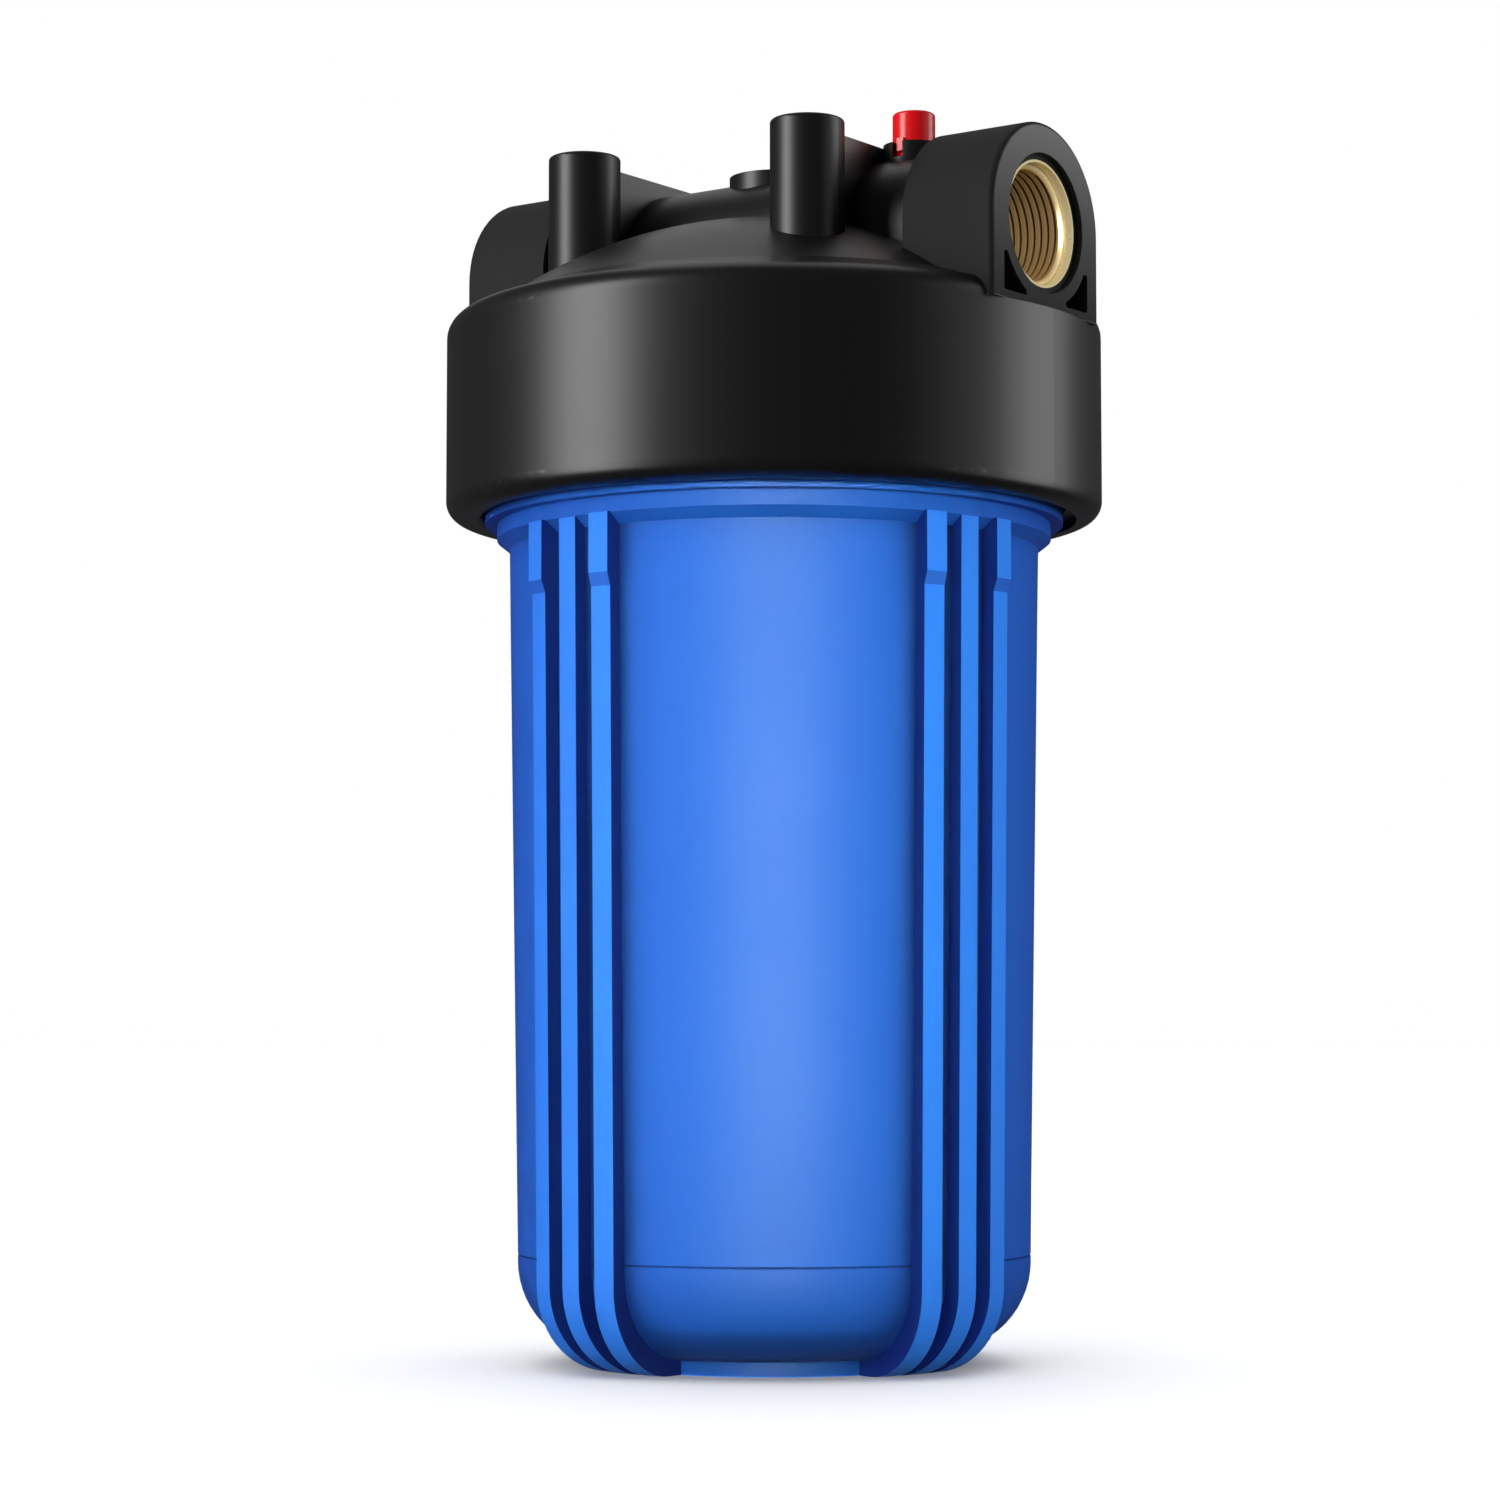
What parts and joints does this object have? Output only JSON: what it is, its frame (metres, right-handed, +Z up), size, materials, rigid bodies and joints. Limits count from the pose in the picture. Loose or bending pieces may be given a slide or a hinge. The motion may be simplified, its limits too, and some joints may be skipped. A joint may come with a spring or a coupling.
{
  "type": "cartridge filter housing",
  "caption": "Cartridge filter housing: black threaded cap with brass side ports and a red vent button, over a ribbed blue sump that holds a pleated cartridge.",
  "frame": {"origin": "middle of the base the housing stands on, on the housing's vertical axis", "axes": "+Z up along the housing's axis, +X out through the inlet port, which is the one beside the vent button"},
  "size_m": [0.184, 0.184, 0.3441],
  "materials": {
    "black_polypropylene": "satin moulded black polypropylene",
    "blue_polypropylene": "semi-gloss moulded blue polypropylene",
    "brass": "machined, bright",
    "red_plastic": "glossy moulded red plastic",
    "black_rubber": "soft matt rubber",
    "white_plastic": "matt moulded white plastic",
    "pleated_polyester": "non-woven pleated polyester",
    "stainless_steel": "drawn stainless steel"
  },
  "bodies": {
    "head": {"head_cap": "black_polypropylene", "inlet_insert": "brass", "outlet_insert": "brass", "inlet_insert_seal": "black_rubber", "outlet_insert_seal": "black_rubber"},
    "cartridge": {"cartridge_bottom_gasket": "black_rubber", "cartridge_bottom_cap": "white_plastic", "pleated_media": "pleated_polyester", "cartridge_core": "white_plastic", "cartridge_top_cap": "white_plastic", "cartridge_top_gasket": "black_rubber"},
    "sump": {"sump": "blue_polypropylene", "sump_o_ring": "black_rubber"},
    "vent": {"vent_button": "red_plastic", "vent_spring": "stainless_steel", "vent_o_ring": "black_rubber", "vent_washer": "stainless_steel", "vent_screw": "stainless_steel"}
  },
  "joints": [
    {"name": "cartridge_drop", "type": "slide", "parent": "head", "child": "cartridge", "axis": [0, 0, -1], "range_m": [0, 0.0254]},
    {"name": "sump_turn", "type": "hinge", "parent": "cartridge", "child": "sump", "pos_m": [0, 0, 0], "axis": [0, 0, -1], "range_deg": [0, 1440]},
    {"name": "vent_press", "type": "slide", "parent": "head", "child": "vent", "axis": [0, 0, -1], "range_m": [0, 0.0015], "stiffness_N_per_m": 400, "springref_m": -0.004, "deforming": ["vent_spring"]}
  ],
  "couplings": [
    {"joint": "cartridge_drop", "follows": "sump_turn", "m_per_rad": 0.0010106}
  ]
}
